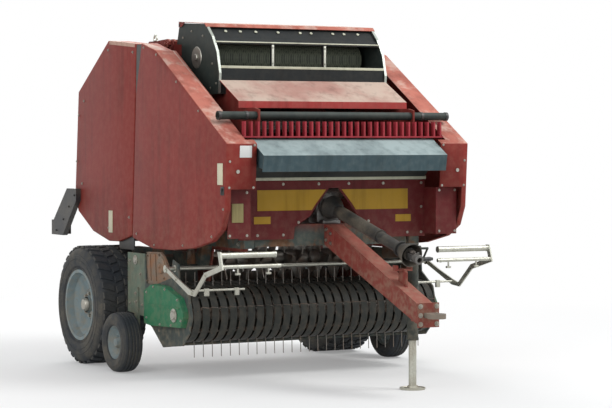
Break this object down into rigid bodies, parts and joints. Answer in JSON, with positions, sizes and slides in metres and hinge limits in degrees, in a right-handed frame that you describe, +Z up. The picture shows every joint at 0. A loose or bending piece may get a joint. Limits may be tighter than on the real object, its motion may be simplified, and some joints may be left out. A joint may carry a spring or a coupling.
{
  "type": "round baler",
  "caption": "Towed fixed-chamber round baler with tined pickup, wind guard, side covers, net wrap box, lifting tailgate, drawbar, driveline and parking jack",
  "frame": {"origin": "centre of the footprint box on the ground, under the front of the chamber", "axes": "+X forward to the hitch eye, +Y to the machine's left, +Z up"},
  "size_m": [4.14, 2.4, 2.517],
  "materials": {
    "red_paint": "semi-gloss, faded",
    "faded_paint": "matt, bleached",
    "grey_paint": "satin",
    "yellow_paint": "satin",
    "pale_paint": "satin",
    "green_paint": "satin",
    "rim_paint": "satin",
    "cast_steel": "rough",
    "bare_steel": "worn by crop",
    "zinc_steel": "galvanised",
    "rod_chrome": "polished",
    "black_plastic": "matt",
    "red_lens": "gloss",
    "net_wrap": "knitted net on a roll",
    "tyre_rubber": "dusty"
  },
  "bodies": {
    "chassis": {"frame": "red_paint", "drawbar": "red_paint", "hitch_eye": "cast_steel", "jack": "grey_paint", "gearbox": "cast_steel", "driveline": "black_plastic", "chamber_sides": "red_paint", "chamber_rollers": "bare_steel", "feed_floor": "bare_steel", "front_panel": "red_paint", "front_bands": "yellow_paint", "hood": "pale_paint", "slats": "red_paint", "cross_tube": "grey_paint", "deck": "faded_paint", "net_box_sides": "grey_paint", "net_box_front": "grey_paint", "net_roll": "net_wrap"},
    "jack_foot": {"jack_leg": "zinc_steel"},
    "rotor": {"feed_rotor": "bare_steel"},
    "net_lid": {"net_lid": "red_paint"},
    "cover_left": {"cover_left": "red_paint"},
    "cover_right": {"cover_right": "red_paint"},
    "tailgate": {"tailgate_shell": "red_paint", "tailgate_shields": "red_paint", "tailgate_rollers": "bare_steel", "lamp_carriers": "black_plastic", "lamps": "red_lens"},
    "gate_barrel_left": {"gate_barrel_left": "grey_paint"},
    "gate_barrel_right": {"gate_barrel_right": "grey_paint"},
    "gate_rod_left": {"gate_rod_left": "rod_chrome"},
    "gate_rod_right": {"gate_rod_right": "rod_chrome"},
    "wheel_left": {"tyre_left": "tyre_rubber", "rim_left": "rim_paint"},
    "wheel_right": {"tyre_right": "tyre_rubber", "rim_right": "rim_paint"},
    "pickup": {"pickup_frame": "grey_paint", "pickup_covers": "green_paint", "strippers": "bare_steel"},
    "reel": {"pickup_reel": "bare_steel"},
    "wind_guard": {"wind_guard": "zinc_steel"},
    "gauge_left": {"gauge_wheel_left": "tyre_rubber"},
    "gauge_right": {"gauge_wheel_right": "tyre_rubber"}
  },
  "joints": [
    {"name": "wheel_left_spin", "type": "hinge", "parent": "chassis", "child": "wheel_left", "pos_m": [-1.1, 1.025, 0.44], "axis": [0, 1, 0], "continuous": true},
    {"name": "wheel_right_spin", "type": "hinge", "parent": "chassis", "child": "wheel_right", "pos_m": [-1.1, -1.025, 0.44], "axis": [0, 1, 0], "continuous": true},
    {"name": "tailgate_lift", "type": "hinge", "parent": "chassis", "child": "tailgate", "pos_m": [-0.5, 0, 2.36], "axis": [0, 1, 0], "range_deg": [0, 60]},
    {"name": "gate_barrel_left_swing", "type": "hinge", "parent": "chassis", "child": "gate_barrel_left", "pos_m": [-0.46, 0.67, 1.82], "axis": [0, 1, 0], "range_deg": [0, 19.7]},
    {"name": "gate_rod_left_slide", "type": "slide", "parent": "gate_barrel_left", "child": "gate_rod_left", "axis": [-0.6536, 0, 0.7568], "range_m": [0, 0.277]},
    {"name": "gate_barrel_right_swing", "type": "hinge", "parent": "chassis", "child": "gate_barrel_right", "pos_m": [-0.46, -0.67, 1.82], "axis": [0, 1, 0], "range_deg": [0, 19.7]},
    {"name": "gate_rod_right_slide", "type": "slide", "parent": "gate_barrel_right", "child": "gate_rod_right", "axis": [-0.6536, 0, 0.7568], "range_m": [0, 0.277]},
    {"name": "cover_left_lift", "type": "hinge", "parent": "chassis", "child": "cover_left", "pos_m": [-0.355, 0.782, 2.352], "axis": [1, 0, 0], "range_deg": [0, 75]},
    {"name": "cover_right_lift", "type": "hinge", "parent": "chassis", "child": "cover_right", "pos_m": [-0.355, -0.782, 2.352], "axis": [-1, 0, 0], "range_deg": [0, 75]},
    {"name": "net_lid_lift", "type": "hinge", "parent": "chassis", "child": "net_lid", "pos_m": [-0.385, 0, 2.492], "axis": [0, -1, 0], "range_deg": [0, 75]},
    {"name": "rotor_spin", "type": "hinge", "parent": "chassis", "child": "rotor", "pos_m": [-0.2, 0, 0.8], "axis": [0, 1, 0], "continuous": true},
    {"name": "pickup_lift", "type": "hinge", "parent": "chassis", "child": "pickup", "pos_m": [-0.48, 0, 0.8], "axis": [0, -1, 0], "range_deg": [0, 8]},
    {"name": "reel_spin", "type": "hinge", "parent": "pickup", "child": "reel", "pos_m": [0.25, 0, 0.45], "axis": [0, 1, 0], "continuous": true},
    {"name": "wind_guard_lift", "type": "hinge", "parent": "pickup", "child": "wind_guard", "pos_m": [0.18, 0, 0.77], "axis": [0, -1, 0], "range_deg": [0, 10]},
    {"name": "gauge_left_spin", "type": "hinge", "parent": "pickup", "child": "gauge_left", "pos_m": [-0.432, 1.12, 0.215], "axis": [0, 1, 0], "continuous": true},
    {"name": "gauge_right_spin", "type": "hinge", "parent": "pickup", "child": "gauge_right", "pos_m": [-0.432, -1.12, 0.215], "axis": [0, 1, 0], "continuous": true},
    {"name": "jack_slide", "type": "slide", "parent": "chassis", "child": "jack_foot", "axis": [0, 0, 1], "range_m": [0, 0.3]}
  ],
  "couplings": [
    {"joint": "gate_barrel_left_swing", "follows": "tailgate_lift", "ratio": 0.32657},
    {"joint": "gate_rod_left_slide", "follows": "tailgate_lift", "m_per_rad": 0.26054},
    {"joint": "gate_barrel_right_swing", "follows": "tailgate_lift", "ratio": 0.32657},
    {"joint": "gate_rod_right_slide", "follows": "tailgate_lift", "m_per_rad": 0.26054}
  ]
}
